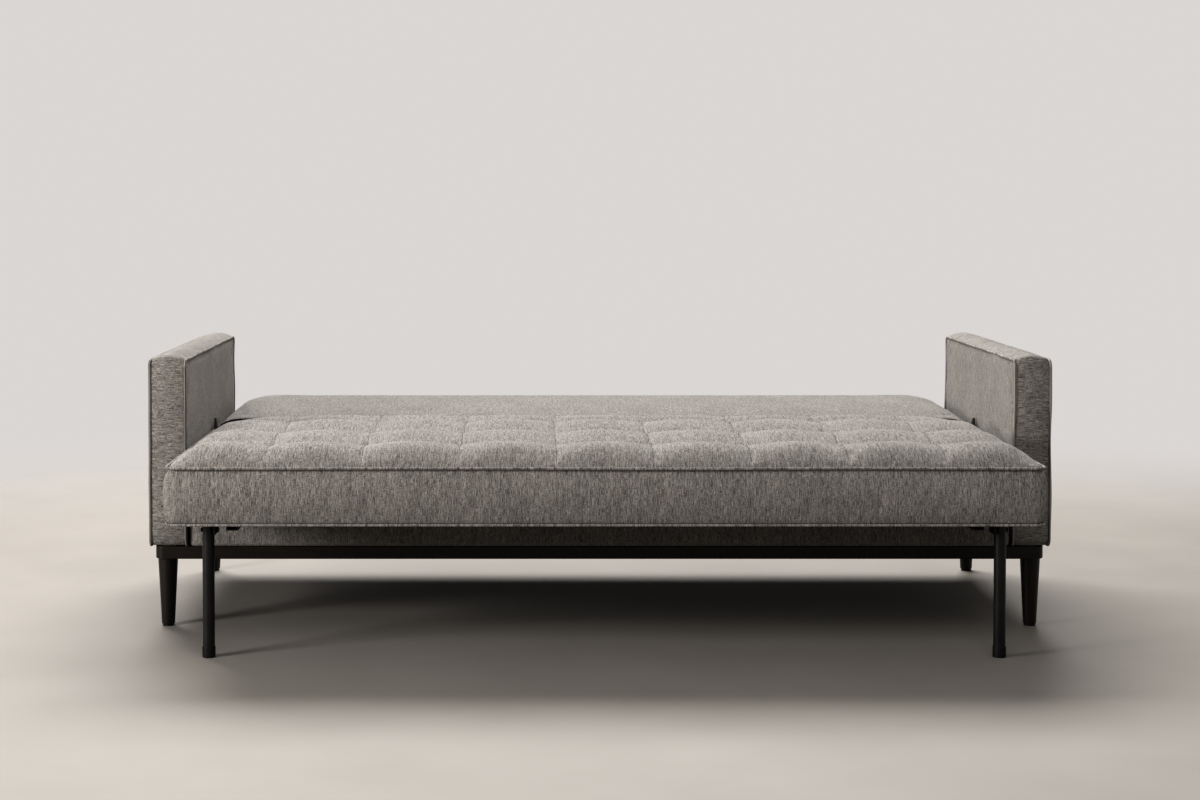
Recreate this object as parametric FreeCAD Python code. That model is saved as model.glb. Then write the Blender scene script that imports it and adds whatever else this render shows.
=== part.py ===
import FreeCAD, Part
import os

# A futon sofa bed laid flat as a bed. The origin is on the floor under its middle, +X runs along
# its length, +Y from the seat's front edge to the back's far edge, and +Z up. All sizes in mm.

Vector = FreeCAD.Vector
os.makedirs("parts", exist_ok=True)

# Whole bed
overall_width = 2080.0
overall_depth = 1227.0
overall_height = 623.0
front_y = -overall_depth / 2
rear_y = overall_depth / 2

# Arms
arm_front_y = front_y + 342.0
arm_depth = 780.0
arm_thickness = 86.0
arm_inner_x = overall_width / 2 - arm_thickness
arm_core_thickness = 30.0
arm_padding = 22.0

# Legs and plinth
leg_height = 162.0
leg_top_radius = 23.0
leg_foot_radius = 15.0
leg_x = 1006.0
leg_inset = 40.0
glide_height = 4.0
plinth_thickness = 30.0
plinth_half_width = 1030.0
plinth_front_y = arm_front_y + 15.0
plinth_rear_y = plinth_front_y + 760.0
plinth_rail = 70.0
plinth_corner = 20.0
wood_edge = 2.5
plinth_top = leg_height + plinth_thickness

# Box between the arms
board_half_width = 935.0
board_thickness = 18.0
front_board_top = 248.0
rear_board_top = 300.0
padding_thickness = 9.0
arm_gap = 6.0
runner_x = 732.0
runner_top = 282.0

# Guide channels and their glides
channel_x = runner_x + board_thickness
channel_depth = 32.0
channel_bottom = 246.0
channel_height = 34.0
channel_wall = 2.0
slide_play = 0.4

# Seat
seat_depth = 700.0
seat_rear_y = front_y + seat_depth
seat_half_width = 942.0
seat_bottom = 298.0
seat_edge_top = 420.0
seat_crown_top = 462.0
rail_bottom = 286.0
rail_height = 30.0
rail_width = 25.0
rail_wall = 2.0
seat_rail_x = 800.0
slat_thickness = 10.0
slat_width = 60.0
slat_count = 11
slat_span = 1540.0
rail_top = rail_bottom + rail_height
slat_top = rail_top + slat_thickness

# Folding support legs under the seat's front edge
support_x = 860.0
support_y = front_y + 71.0
support_pivot_z = 278.0
support_top = 303.0
tube_radius = 13.0
tube_wall = 2.0
cap_radius = 14.3
cap_height = 24.0
cap_edge = 1.5
pivot_bolt_radius = 3.0
running_play = 0.05

# Back
back_depth = 500.0
back_front_y = rear_y - back_depth
back_half_width = 940.0
back_bottom = 315.0
back_edge_top = 438.0
back_crown_top = 458.0
back_corner = 100.0
back_rail_bottom = 340.0
back_rail_top = back_rail_bottom + rail_height
back_slat_top = back_rail_top + 8.0

# Recline hinge
hinge_y = back_front_y + 40.0
hinge_z = 375.0
hinge_pin_radius = 6.0
hinge_disc_radius = 24.0
back_plate_thickness = 3.0
seat_plate_thickness = 4.0
seat_plate_x = 943.8


def box(x0, x1, y0, y1, z0, z1):
    """Solid box between two corners."""
    return Part.makeBox(x1 - x0, y1 - y0, z1 - z0, Vector(x0, y0, z0))


def hollow_bar(x0, x1, y0, y1, z0, z1):
    """Steel box section, open at both ends of its long side."""
    lengthwise = x1 - x0 > y1 - y0
    bore_x = 0.0 if lengthwise else rail_wall
    bore_y = rail_wall if lengthwise else 0.0
    bore = box(x0 + bore_x, x1 - bore_x, y0 + bore_y, y1 - bore_y, z0 + rail_wall, z1 - rail_wall)
    return box(x0, x1, y0, y1, z0, z1).cut(bore)


def upright(radius, x, y, z0, z1):
    """Cylinder standing along Z."""
    return Part.makeCylinder(radius, z1 - z0, Vector(x, y, z0), Vector(0, 0, 1))


def crosswise(radius, x0, x1, y, z):
    """Cylinder lying along X."""
    return Part.makeCylinder(radius, x1 - x0, Vector(x0, y, z), Vector(1, 0, 0))


def hexagon(across_flats, x0, x1, y, z):
    """Hexagonal nut or bolt head lying along X."""
    corner_radius = across_flats / 3 ** 0.5
    face = Part.Face(Part.makePolygon([
        Vector(x0, y, z) + FreeCAD.Rotation(Vector(1, 0, 0), 60 * turn).multVec(Vector(0, corner_radius, 0))
        for turn in range(7)
    ]))
    return face.extrude(Vector(x1 - x0, 0, 0))


def left(shape):
    """The same piece on the other side of the bed."""
    return shape.mirror(Vector(0, 0, 0), Vector(1, 0, 0))


def group(shapes):
    """Separate solids kept together in one node."""
    return Part.makeCompound(shapes)


def outline(start, steps):
    """Closed face from start: a point is a straight run, a pair is an arc through its first point."""
    edges = []
    here = start
    for step in steps:
        if isinstance(step, tuple):
            edges.append(Part.Arc(here, step[0], step[1]).toShape())
            here = step[1]
        else:
            edges.append(Part.LineSegment(here, step).toShape())
            here = step
    if here.distanceToPoint(start) > 0.001:
        edges.append(Part.LineSegment(here, start).toShape())
    return Part.Face(Part.Wire(edges))


def rounded(shape, radius, chosen):
    """Fillets the edges that the test picks by their two end points."""
    edges = [e for e in shape.Edges if chosen(e.Vertexes[0].Point, e.Vertexes[-1].Point)]
    return shape.makeFillet(radius, edges)


def save(name, shape):
    """Writes one node, after checking that its solids are sound."""
    if not shape.isValid():
        raise ValueError(name + " is not a sound solid")
    shape.exportStep("parts/" + name + ".step")


def save_pair(name, shape):
    """Writes a right-hand piece and its left-hand twin."""
    save(name + "_right", shape)
    save(name + "_left", left(shape))


# Tapered wooden legs, each on a glide, held by a hanger bolt that runs up into the plinth
def leg_places():
    front = plinth_front_y + leg_inset
    rear = plinth_rear_y - leg_inset + 10.0
    return [("front_right", leg_x, front), ("front_left", -leg_x, front),
            ("rear_right", leg_x, rear), ("rear_left", -leg_x, rear)]


def hanger_bolt(x, y):
    return upright(5.0, x, y, leg_height - 40.0, leg_height + 22.0)


def tapered_leg(x, y):
    cone = Part.makeCone(leg_foot_radius, leg_top_radius, leg_height - glide_height,
                         Vector(x, y, glide_height), Vector(0, 0, 1))
    cone = rounded(cone, wood_edge, lambda a, b: max(a.z, b.z) < glide_height + 1.0)
    return cone.cut(hanger_bolt(x, y))


hanger_bolts = [hanger_bolt(x, y) for name, x, y in leg_places()]
for name, x, y in leg_places():
    save("leg_" + name, tapered_leg(x, y))
save("leg_hanger_bolts", group(hanger_bolts))
save("leg_glides", group([upright(leg_foot_radius - 2.0, x, y, 0.0, glide_height)
                          for name, x, y in leg_places()]))


# Plinth of four wooden rails with a middle rail and a dust cover
def arm_bolt_places():
    x = arm_inner_x + arm_thickness / 2
    return [(side * x, arm_front_y + reach) for side in (1, -1) for reach in (150.0, 390.0, 630.0)]


def arm_bolt(x, y):
    head = upright(8.0, x, y, leg_height, leg_height + 5.0)
    return head.fuse(upright(4.0, x, y, leg_height + 5.0, plinth_top + 60.0))


arm_bolts = [arm_bolt(x, y) for x, y in arm_bolt_places()]


def plinth():
    slab = box(-plinth_half_width, plinth_half_width, plinth_front_y, plinth_rear_y, leg_height, plinth_top)
    slab = rounded(slab, plinth_corner, lambda a, b: abs(a.z - b.z) > 1.0)
    slab = rounded(slab, wood_edge, lambda a, b: abs(a.z - b.z) < 1.0)
    return slab.cut(group(hanger_bolts + arm_bolts))


plinth_slab = plinth()
side_x = plinth_half_width - plinth_rail
rail_front_y = plinth_front_y + plinth_rail
rail_rear_y = plinth_rear_y - plinth_rail
side_zone = box(side_x, plinth_half_width, rail_front_y, rail_rear_y, leg_height, plinth_top)
wide = plinth_half_width
save("plinth_front_rail", plinth_slab.common(
    box(-wide, wide, plinth_front_y, rail_front_y, leg_height, plinth_top)))
save("plinth_rear_rail", plinth_slab.common(
    box(-wide, wide, rail_rear_y, plinth_rear_y, leg_height, plinth_top)))
save("plinth_side_rail_right", plinth_slab.common(side_zone))
save("plinth_side_rail_left", plinth_slab.common(left(side_zone)))
save("plinth_middle_rail", box(-35.0, 35.0, rail_front_y, rail_rear_y, leg_height, plinth_top - 4.0))
save("dust_cover", box(-side_x, side_x, rail_front_y, rail_rear_y, plinth_top - 3.0, plinth_top - 1.0))


# Upholstered arms: a wooden core bolted to the plinth, inside a foam and fabric pad
core_x0 = arm_inner_x + (arm_thickness - arm_core_thickness) / 2
arm_core_solid = box(core_x0, core_x0 + arm_core_thickness, arm_front_y + arm_padding,
                     arm_front_y + arm_depth - arm_padding, plinth_top, overall_height - arm_padding)
arm_block = box(arm_inner_x, arm_inner_x + arm_thickness, arm_front_y, arm_front_y + arm_depth,
                plinth_top, overall_height)
arm_block = arm_block.makeFillet(12.0, arm_block.Edges)
save_pair("arm_pad", arm_block.cut(arm_core_solid))
save_pair("arm_core", arm_core_solid.cut(group(arm_bolts)))
save("arm_bolts", group(arm_bolts))

# Box between the arms, with a padded front and rear
front_board_y = arm_front_y + 17.0
rear_board_y = arm_front_y + 740.0
side_board_x = board_half_width - board_thickness
front_board = box(-board_half_width, board_half_width, front_board_y,
                  front_board_y + board_thickness, plinth_top, front_board_top)
rear_board = box(-board_half_width, board_half_width, rear_board_y,
                 rear_board_y + board_thickness, plinth_top, rear_board_top)
fascia_x = arm_inner_x - arm_gap


def padded_panel(y0, y1, top, board):
    """Foam and fabric over a board, open underneath and behind."""
    block = box(-fascia_x, fascia_x, y0, y1, plinth_top, top)
    return block.cut(board)


def runner_screw_places():
    return [arm_front_y + reach for reach in (100.0, 380.0, 660.0)]


def runner_screw(y):
    return crosswise(2.5, channel_x - 12.0, channel_x + channel_wall, y, channel_bottom + channel_height / 2)


runner_screws = [runner_screw(y) for y in runner_screw_places()]
inner_front = front_board_y + board_thickness
save("front_board", front_board)
save("rear_board", rear_board)
save("front_fascia", padded_panel(front_board_y - padding_thickness, front_board_y + board_thickness,
                                  front_board_top + 2.0, front_board))
save("rear_fascia", padded_panel(rear_board_y, rear_board_y + board_thickness + 14.0,
                                 rear_board_top + 2.0, rear_board))
save_pair("side_board", box(side_board_x, board_half_width, inner_front, rear_board_y,
                            plinth_top, front_board_top))
save_pair("runner_board", box(runner_x, channel_x, inner_front, rear_board_y,
                              plinth_top, runner_top).cut(group(runner_screws)))

# Steel C channels that the seat runs in, screwed to the runner boards
channel_front_y = inner_front + 12.0
channel_rear_y = rear_board_y - 18.0


def guide_channel():
    """C section, open towards the arm."""
    outer = box(channel_x, channel_x + channel_depth, channel_front_y, channel_rear_y,
                channel_bottom, channel_bottom + channel_height)
    hollow = box(channel_x + channel_wall, channel_x + channel_depth, channel_front_y, channel_rear_y,
                 channel_bottom + channel_wall, channel_bottom + channel_height - channel_wall)
    return outer.cut(hollow).cut(group(runner_screws))


save_pair("guide_channel", guide_channel())
save("channel_screws", group(runner_screws + [left(screw) for screw in runner_screws]))
save("rear_buffers", group([upright(12.0, x, rear_board_y + 15.0, rear_board_top + 2.0, back_bottom - 0.5)
                            for x in (-850.0, -300.0, 300.0, 850.0)]))

# Seat carriage: steel rails, wooden slats, and nylon glides that run in the channels
carriage_front_y = front_y + 12.0
carriage_rear_y = seat_rear_y - 13.0


def cross_rail(y, half_length, form=hollow_bar, bottom=rail_bottom):
    return form(-half_length, half_length, y, y + rail_width, bottom, rail_top)


def slats(y0, y1, z0, z1):
    """Flat slats that run from front to back across the cross rails."""
    pitch = slat_span / (slat_count - 1)
    middles = [-slat_span / 2 + pitch * number for number in range(slat_count)]
    return group([box(x - slat_width / 2, x + slat_width / 2, y0, y1, z0, z1) for x in middles])


rear_rail_y = seat_rear_y - 38.0
rail_inner_x = seat_rail_x - rail_width / 2
rail_outer_x = seat_rail_x + rail_width / 2
hinge_rail_space = cross_rail(rear_rail_y, seat_plate_x, box)
save_pair("seat_side_rail", hollow_bar(rail_inner_x, rail_outer_x, carriage_front_y, rear_rail_y,
                                       rail_bottom, rail_top))
save("seat_front_rail", cross_rail(carriage_front_y, rail_inner_x, bottom=seat_bottom))
save("seat_middle_rail", cross_rail(front_y + 340.0, rail_inner_x))
save("seat_hinge_rail", cross_rail(rear_rail_y, seat_plate_x))
save("seat_slats", slats(carriage_front_y, carriage_rear_y, rail_top, slat_top))

hanger_thickness = 3.0
hanger_half_width = 22.0
hanger_x = rail_inner_x - hanger_thickness
glide_bottom = channel_bottom + channel_wall + slide_play
glide_top = channel_bottom + channel_height - channel_wall - slide_play
glide_z = (glide_bottom + glide_top) / 2
glide_places = [arm_front_y + reach for reach in (90.0, 290.0)]


def glide_bolt(y):
    shank = crosswise(4.0, channel_x + 8.0, rail_inner_x + 8.0, y, glide_z)
    return shank.fuse(hexagon(13.0, rail_inner_x, rail_inner_x + 6.0, y, glide_z))


def carriage_hanger(y):
    plate = box(hanger_x, rail_inner_x, y - hanger_half_width, y + hanger_half_width,
                glide_bottom, rail_top - 4.0)
    return plate.cut(glide_bolt(y))


def seat_glide(y):
    block = box(channel_x + channel_wall + 1.0, hanger_x, y - hanger_half_width,
                y + hanger_half_width, glide_bottom, glide_top)
    ends = rounded(block, 4.0, lambda a, b: abs(a.z - b.z) > 1.0)
    return ends.cut(glide_bolt(y))


def both_sides(make, places):
    """A right and a left copy of a piece at each place."""
    made = [make(place) for place in places]
    return group(made + [left(piece) for piece in made])


save("carriage_hangers", both_sides(carriage_hanger, glide_places))
save("seat_glides", both_sides(seat_glide, glide_places))
save("glide_bolts", both_sides(glide_bolt, glide_places))

# Brackets and pivot bolts that carry the folding legs
ear_x = support_x - tube_radius - 5.0
ear_thickness = 3.0
bracket_front_y = support_y - 29.0
bracket_rear_y = support_y + 26.0


def pivot_bolt():
    """Bolt through the tube, with its head outside the tube and its nut behind the ear."""
    shank = crosswise(pivot_bolt_radius, ear_x - 5.0, support_x + tube_radius + 0.5,
                      support_y, support_pivot_z)
    head = crosswise(5.0, support_x + tube_radius + 0.5, support_x + tube_radius + 3.0,
                     support_y, support_pivot_z)
    nut = hexagon(10.0, ear_x - 5.0, ear_x, support_y, support_pivot_z)
    return shank.fuse(head).fuse(nut)


def leg_bracket():
    """Ear beside the tube, a top flange welded to the side rail, and a stop behind the tube."""
    ear = box(ear_x, ear_x + ear_thickness, bracket_front_y, bracket_rear_y, support_pivot_z - 8.0, rail_top)
    flange = box(rail_outer_x, support_x + 15.0, bracket_front_y, bracket_rear_y,
                 rail_top - ear_thickness, rail_top)
    stop_y = support_y + tube_radius + 0.5
    stop = box(ear_x, support_x + 15.0, stop_y, stop_y + ear_thickness, support_pivot_z + 15.0, rail_top)
    return ear.fuse(flange).fuse(stop).cut(pivot_bolt())


save_pair("leg_bracket", leg_bracket())
save("leg_pivot_bolts", group([pivot_bolt(), left(pivot_bolt())]))


# Folding legs: a steel tube with a plastic foot cap
def support_tube():
    tube = upright(tube_radius, support_x, support_y, 5.0, support_top)
    tube = tube.cut(upright(tube_radius - tube_wall, support_x, support_y, 5.0, support_top))
    bore = crosswise(pivot_bolt_radius + running_play, support_x - 20.0, support_x + 20.0,
                     support_y, support_pivot_z)
    return tube.cut(bore)


def foot_cap():
    cap = upright(cap_radius, support_x, support_y, 0.0, cap_height)
    cap = rounded(cap, cap_edge, lambda a, b: abs(a.z - b.z) < 1.0)
    return cap.cut(upright(tube_radius, support_x, support_y, 5.0, cap_height))


save_pair("support_tube", support_tube())
save_pair("support_foot_cap", foot_cap())


# Recline hinge: a plate on the seat with a raised ear, a plate on the back, and a pin
def seat_hinge_plate():
    x = seat_plate_x
    rail_front = rear_rail_y - 8.0
    rail_rear = rear_rail_y + rail_width + 4.0
    shape = outline(Vector(x, rail_front, rail_bottom - 2.0), [
        Vector(x, rail_rear, rail_bottom - 2.0),
        Vector(x, hinge_y + 17.0, hinge_z - 17.0),
        (Vector(x, hinge_y + hinge_disc_radius, hinge_z), Vector(x, hinge_y + 17.0, hinge_z + 17.0)),
        Vector(x, hinge_y - 33.0, hinge_z + 73.0),
        Vector(x, hinge_y - 41.0, hinge_z + 73.0),
        Vector(x, hinge_y - 52.0, hinge_z + 38.0),
        Vector(x, rail_front, rail_top + 6.0),
    ])
    bore = crosswise(hinge_pin_radius + running_play, x - 1.0, x + 10.0, hinge_y, hinge_z)
    return shape.extrude(Vector(seat_plate_thickness, 0, 0)).cut(bore)


def back_hinge_plate():
    x = back_half_width
    reach = hinge_y + 95.0
    shape = outline(Vector(x, hinge_y, hinge_z - hinge_disc_radius), [
        Vector(x, reach, hinge_z - 21.0),
        (Vector(x, reach + 14.0, hinge_z - 7.0), Vector(x, reach, hinge_z + 7.0)),
        Vector(x, hinge_y, hinge_z + hinge_disc_radius),
        (Vector(x, hinge_y - hinge_disc_radius, hinge_z), Vector(x, hinge_y, hinge_z - hinge_disc_radius)),
    ])
    bore = crosswise(hinge_pin_radius, x - 1.0, x + 10.0, hinge_y, hinge_z)
    return shape.extrude(Vector(back_plate_thickness, 0, 0)).cut(bore)


def hinge_pin():
    head_x = seat_plate_x + seat_plate_thickness + 0.3
    shank = crosswise(hinge_pin_radius, back_half_width, head_x, hinge_y, hinge_z)
    return shank.fuse(crosswise(11.0, head_x, head_x + 4.4, hinge_y, hinge_z))


save_pair("seat_hinge_plate", seat_hinge_plate())
save_pair("back_hinge_plate", back_hinge_plate())
save("hinge_pins", group([hinge_pin(), left(hinge_pin())]))


# Seat cushion: a crowned block, with padded strips under its edges around the carriage
def seat_cushion():
    middle_y = front_y + seat_depth * 0.55
    mid_z = (seat_bottom + seat_edge_top) / 2
    side = outline(Vector(-seat_half_width, front_y + 6.0, seat_bottom), [
        (Vector(-seat_half_width, front_y, mid_z), Vector(-seat_half_width, front_y + 5.0, seat_edge_top)),
        (Vector(-seat_half_width, middle_y, seat_crown_top),
         Vector(-seat_half_width, seat_rear_y, seat_edge_top + 10.0)),
        Vector(-seat_half_width, seat_rear_y, seat_bottom),
    ]).extrude(Vector(2 * seat_half_width, 0, 0))
    shoulder_x = seat_half_width - 150.0
    y = front_y - 10.0
    end = outline(Vector(-seat_half_width, y, seat_bottom), [
        Vector(-seat_half_width, y, seat_edge_top),
        (Vector(-seat_half_width + 60.0, y, seat_crown_top - 12.0), Vector(-shoulder_x, y, seat_crown_top)),
        Vector(shoulder_x, y, seat_crown_top),
        (Vector(seat_half_width - 60.0, y, seat_crown_top - 12.0), Vector(seat_half_width, y, seat_edge_top)),
        Vector(seat_half_width, y, seat_bottom),
    ]).extrude(Vector(0, seat_depth + 20.0, 0))
    return side.common(end)


def seat_edge_strips(cushion):
    """Padded strips below the cushion that hide the carriage: front, rear and one at each end."""
    inner_x = seat_half_width - 37.0
    inner_front = carriage_front_y - 1.0
    inner_rear = carriage_rear_y + 1.0
    far = seat_half_width + 1.0
    zones = [
        box(-far, far, front_y - 1.0, inner_front, seat_bottom, slat_top),
        box(-far, far, inner_rear, seat_rear_y + 1.0, seat_bottom, slat_top),
        box(inner_x, far, inner_front, inner_rear, seat_bottom, slat_top),
        box(-far, -inner_x, inner_front, inner_rear, seat_bottom, slat_top),
    ]
    return group([cushion.common(zone).cut(hinge_rail_space) for zone in zones])


whole_cushion = seat_cushion()
below = box(-overall_width, overall_width, -overall_depth, overall_depth, 0.0, slat_top)
save("seat_edge_strips", seat_edge_strips(whole_cushion))
save("seat_cushion", whole_cushion.cut(below))

# Back frame: steel rails and slats inside the back cushion's recess
recess_half_width = 885.0
recess_front_y = back_front_y + 20.0
recess_rear_y = back_front_y + 475.0
back_upper_y = recess_rear_y - 30.0


def back_lower_rail(form=hollow_bar):
    return form(-back_half_width, back_half_width, hinge_y - 15.0, hinge_y + 15.0,
                back_rail_bottom, back_rail_top)


save("back_lower_rail", back_lower_rail())
save("back_upper_rail", hollow_bar(-880.0, 880.0, back_upper_y, back_upper_y + rail_width,
                                   back_rail_bottom, back_rail_top))
save_pair("back_side_rail", hollow_bar(855.0, 880.0, hinge_y + 15.0, back_upper_y,
                                       back_rail_bottom, back_rail_top))
save("back_slats", slats(hinge_y - 13.0, back_upper_y + rail_width, back_rail_top, back_slat_top))
save("back_lining", box(-recess_half_width, recess_half_width, recess_front_y, recess_rear_y,
                        back_bottom, back_bottom + 2.0))


# Back cushion: a crowned slab with rounded far corners
def back_cushion():
    x = -back_half_width
    low_front = 20.0
    top_front = 35.0
    far = 45.0
    corner = 0.2929
    side = outline(Vector(x, back_front_y + low_front, back_bottom), [
        (Vector(x, back_front_y + low_front * corner, back_bottom + low_front * corner),
         Vector(x, back_front_y, back_bottom + low_front)),
        Vector(x, back_front_y, back_edge_top - top_front),
        (Vector(x, back_front_y + top_front * corner, back_edge_top - top_front * corner),
         Vector(x, back_front_y + top_front, back_edge_top)),
        (Vector(x, back_front_y + back_depth * 0.55, back_crown_top),
         Vector(x, rear_y - far, back_edge_top)),
        (Vector(x, rear_y - far * corner, back_edge_top - far * corner),
         Vector(x, rear_y, back_edge_top - far)),
        Vector(x, rear_y, back_bottom + far),
        (Vector(x, rear_y - far * corner, back_bottom + far * corner),
         Vector(x, rear_y - far, back_bottom)),
    ]).extrude(Vector(2 * back_half_width, 0, 0))
    plan = box(-back_half_width, back_half_width, back_front_y - 1.0, rear_y, back_bottom - 1.0,
               back_crown_top + 20.0)
    plan = rounded(plan, back_corner,
                   lambda a, b: abs(a.z - b.z) > 1.0 and min(a.y, b.y) > rear_y - 1.0)
    recess = box(-recess_half_width, recess_half_width, recess_front_y, recess_rear_y,
                 back_bottom, back_slat_top)
    return side.common(plan).cut(recess).cut(back_lower_rail(box))


save("back_cushion", back_cushion())
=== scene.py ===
import math

import bmesh
import bpy
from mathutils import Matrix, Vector, noise
from mathutils.bvhtree import BVHTree


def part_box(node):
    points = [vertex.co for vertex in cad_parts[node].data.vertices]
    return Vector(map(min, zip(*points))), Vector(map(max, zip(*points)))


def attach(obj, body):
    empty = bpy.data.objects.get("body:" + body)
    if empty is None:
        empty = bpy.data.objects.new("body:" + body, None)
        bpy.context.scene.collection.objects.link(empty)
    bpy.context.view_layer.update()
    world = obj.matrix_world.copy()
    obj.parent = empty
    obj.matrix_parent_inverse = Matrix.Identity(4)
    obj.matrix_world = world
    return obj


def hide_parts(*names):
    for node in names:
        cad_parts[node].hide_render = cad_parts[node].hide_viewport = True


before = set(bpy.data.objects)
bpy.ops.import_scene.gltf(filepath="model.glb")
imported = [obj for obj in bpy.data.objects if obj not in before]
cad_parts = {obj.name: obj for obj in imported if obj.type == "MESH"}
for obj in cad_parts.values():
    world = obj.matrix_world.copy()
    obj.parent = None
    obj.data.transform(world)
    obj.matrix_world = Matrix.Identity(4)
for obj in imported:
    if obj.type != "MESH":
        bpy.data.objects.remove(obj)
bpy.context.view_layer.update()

scene = bpy.context.scene
scene.view_settings.view_transform = "Standard"
scene.view_settings.look = "High Contrast"


# Where the viewer stands: low and a little left of the middle, with a long lens. The frame is
# shifted down, as on a view camera, so that the upright edges stay nearly upright.
eye = Vector((-0.162, -4.931, 1.011))
eye_dip = math.radians(1.7)
camera_data = bpy.data.cameras.new("viewpoint")
camera_data.lens = 60.87
camera_data.sensor_width = 36.0
camera_data.shift_x = 0.0586
camera_data.shift_y = -0.1230
camera = bpy.data.objects.new("viewpoint", camera_data)
camera.location = eye
camera.rotation_euler = (math.radians(90) - eye_dip, 0.0, 0.0)
scene.collection.objects.link(camera)
scene.camera = camera


# Studio: a pool of plain pale floor that fades into a pale surround, a wide soft light high up
# behind the bed, a low one on the left that draws the legs' shadows, and a weak one in front.
def studio_light(name, place, aim, width, height, power, tint):
    """An area light that faces the point it is aimed at."""
    data = bpy.data.lights.new(name, "AREA")
    data.shape = "RECTANGLE"
    data.size = width
    data.size_y = height
    data.energy = power
    data.color = tint
    lamp = bpy.data.objects.new(name, data)
    lamp.location = place
    lamp.visible_camera = False
    lamp.rotation_euler = (Vector(aim) - Vector(place)).to_track_quat("-Z", "Y").to_euler()
    scene.collection.objects.link(lamp)


def node_material(name):
    """An empty node material and a function that adds its nodes with their values."""
    material = bpy.data.materials.new(name)
    material.use_nodes = True
    material.node_tree.nodes.clear()
    return material, node_maker(material.node_tree)


def node_maker(tree):
    """Adds a node of one kind, with its settings, its fixed inputs and its links."""
    def add(kind, settings=None, **inputs):
        family = "Node" if kind in ("GroupInput", "GroupOutput") else "ShaderNode"
        node = tree.nodes.new(family + kind)
        for key, value in (settings or {}).items():
            setattr(node, key, value)
        for key, value in inputs.items():
            socket = node.inputs[int(key[1:])] if key[0] == "i" and key[1:].isdigit() else \
                node.inputs[key.replace("_", " ")]
            if isinstance(value, bpy.types.NodeSocket):
                tree.links.new(value, socket)
            else:
                socket.default_value = value
        return node
    return add


def surface(material, add, **inputs):
    """Ends a material in one Principled shader."""
    shader = add("BsdfPrincipled", None, **inputs)
    add("OutputMaterial", None, Surface=shader.outputs["BSDF"])
    return material


def colour_steps(add, fac, steps):
    """A colour ramp from (place, colour) steps."""
    ramp = add("ValToRGB", None, Fac=fac)
    elements = ramp.color_ramp.elements
    while len(elements) < len(steps):
        elements.new(0.5)
    for element, (place, colour) in zip(elements, steps):
        element.position = place
        element.color = (*colour, 1.0)
    return ramp.outputs["Color"]


surround = bpy.data.worlds.new("pale surround")
surround.use_nodes = True
surround.node_tree.nodes.clear()
add = node_maker(surround.node_tree)
seen = add("LightPath").outputs["Is Camera Ray"]
level = add("MapRange", None, Value=seen, To_Min=0.17, To_Max=0.52).outputs["Result"]
air = add("Background", None, Color=(1.0, 0.965, 0.95, 1.0), Strength=level)
add("OutputWorld", None, Surface=air.outputs["Background"])
scene.world = surround

floor_half = 14.0
floor_mesh = bmesh.new()
bmesh.ops.create_grid(floor_mesh, x_segments=1, y_segments=1, size=floor_half)
floor_data = bpy.data.meshes.new("studio_floor")
floor_mesh.to_mesh(floor_data)
floor_mesh.free()
floor = bpy.data.objects.new("studio_floor", floor_data)
scene.collection.objects.link(floor)
floor_paint, add = node_material("studio floor")
place = add("TexCoord").outputs["Object"]
mottle = add("TexNoise", None, Vector=place, Scale=3.0, Detail=4.0).outputs["Fac"]
paint = colour_steps(add, mottle, [(0.3, (0.37, 0.348, 0.322)), (0.7, (0.40, 0.377, 0.350))])
bounced = add("LightPath").outputs["Is Diffuse Ray"]
carried = add("Mix", {"data_type": "RGBA"}, Factor=bounced)
floor_paint.node_tree.links.new(paint, carried.inputs["A"])
carried.inputs["B"].default_value = (0.17, 0.155, 0.14, 1.0)
boards = add("BsdfPrincipled", None, Base_Color=carried.outputs["Result"], Roughness=0.6,
             Specular_IOR_Level=0.2)
from_middle = add("VectorMath", {"operation": "DISTANCE"}, i0=place, i1=(0.0, -0.7, 0.0))
fade = add("MapRange", {"interpolation_type": "SMOOTHSTEP"}, Value=from_middle.outputs["Value"],
           From_Min=2.3, From_Max=4.6)
open_air = add("BsdfTransparent")
pool = add("MixShader", None, Fac=fade.outputs["Result"], i1=boards.outputs["BSDF"],
           i2=open_air.outputs["BSDF"])
add("OutputMaterial", None, Surface=pool.outputs["Shader"])
floor.data.materials.append(floor_paint)

bed_middle = (0.0, -0.1, 0.3)
studio_light("overhead", (-1.0, 5.6, 6.6), bed_middle, 8.4, 3.6, 910.0, (1.0, 0.985, 0.97))
studio_light("window", (-3.6, -2.4, 1.30), bed_middle, 1.1, 0.95, 70.0, (1.0, 0.98, 0.955))
studio_light("front fill", (0.0, -3.6, 3.1), bed_middle, 3.0, 1.5, 29.0, (1.0, 0.985, 0.97))


# Seat cushion: foam and wadding in a heathered grey cover, sewn through in nine columns and four
# rows. The cover is blown out against its seams, then the stitch lines are drawn in. It also
# hides the padded strips around the carriage, so it stands for both.
def piece_from(name, bm):
    """Turns a bmesh into a piece that stands at the origin."""
    data = bpy.data.meshes.new(name)
    bm.to_mesh(data)
    bm.free()
    piece = bpy.data.objects.new(name, data)
    scene.collection.objects.link(piece)
    return piece


def block(low, high, corners=(), offset=0.0, steps=6):
    """A box whose edges picked by the test are rounded off."""
    bm = bmesh.new()
    bmesh.ops.create_cube(bm, size=1.0)
    bmesh.ops.scale(bm, vec=high - low, verts=bm.verts)
    bmesh.ops.translate(bm, vec=(low + high) / 2, verts=bm.verts)
    if offset:
        edges = [edge for edge in bm.edges if corners(edge.verts[0].co, edge.verts[1].co)]
        bmesh.ops.bevel(bm, geom=edges, offset=offset, segments=steps, profile=0.5,
                        affect="EDGES", material=-1, offset_type="OFFSET")
    return bm


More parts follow.
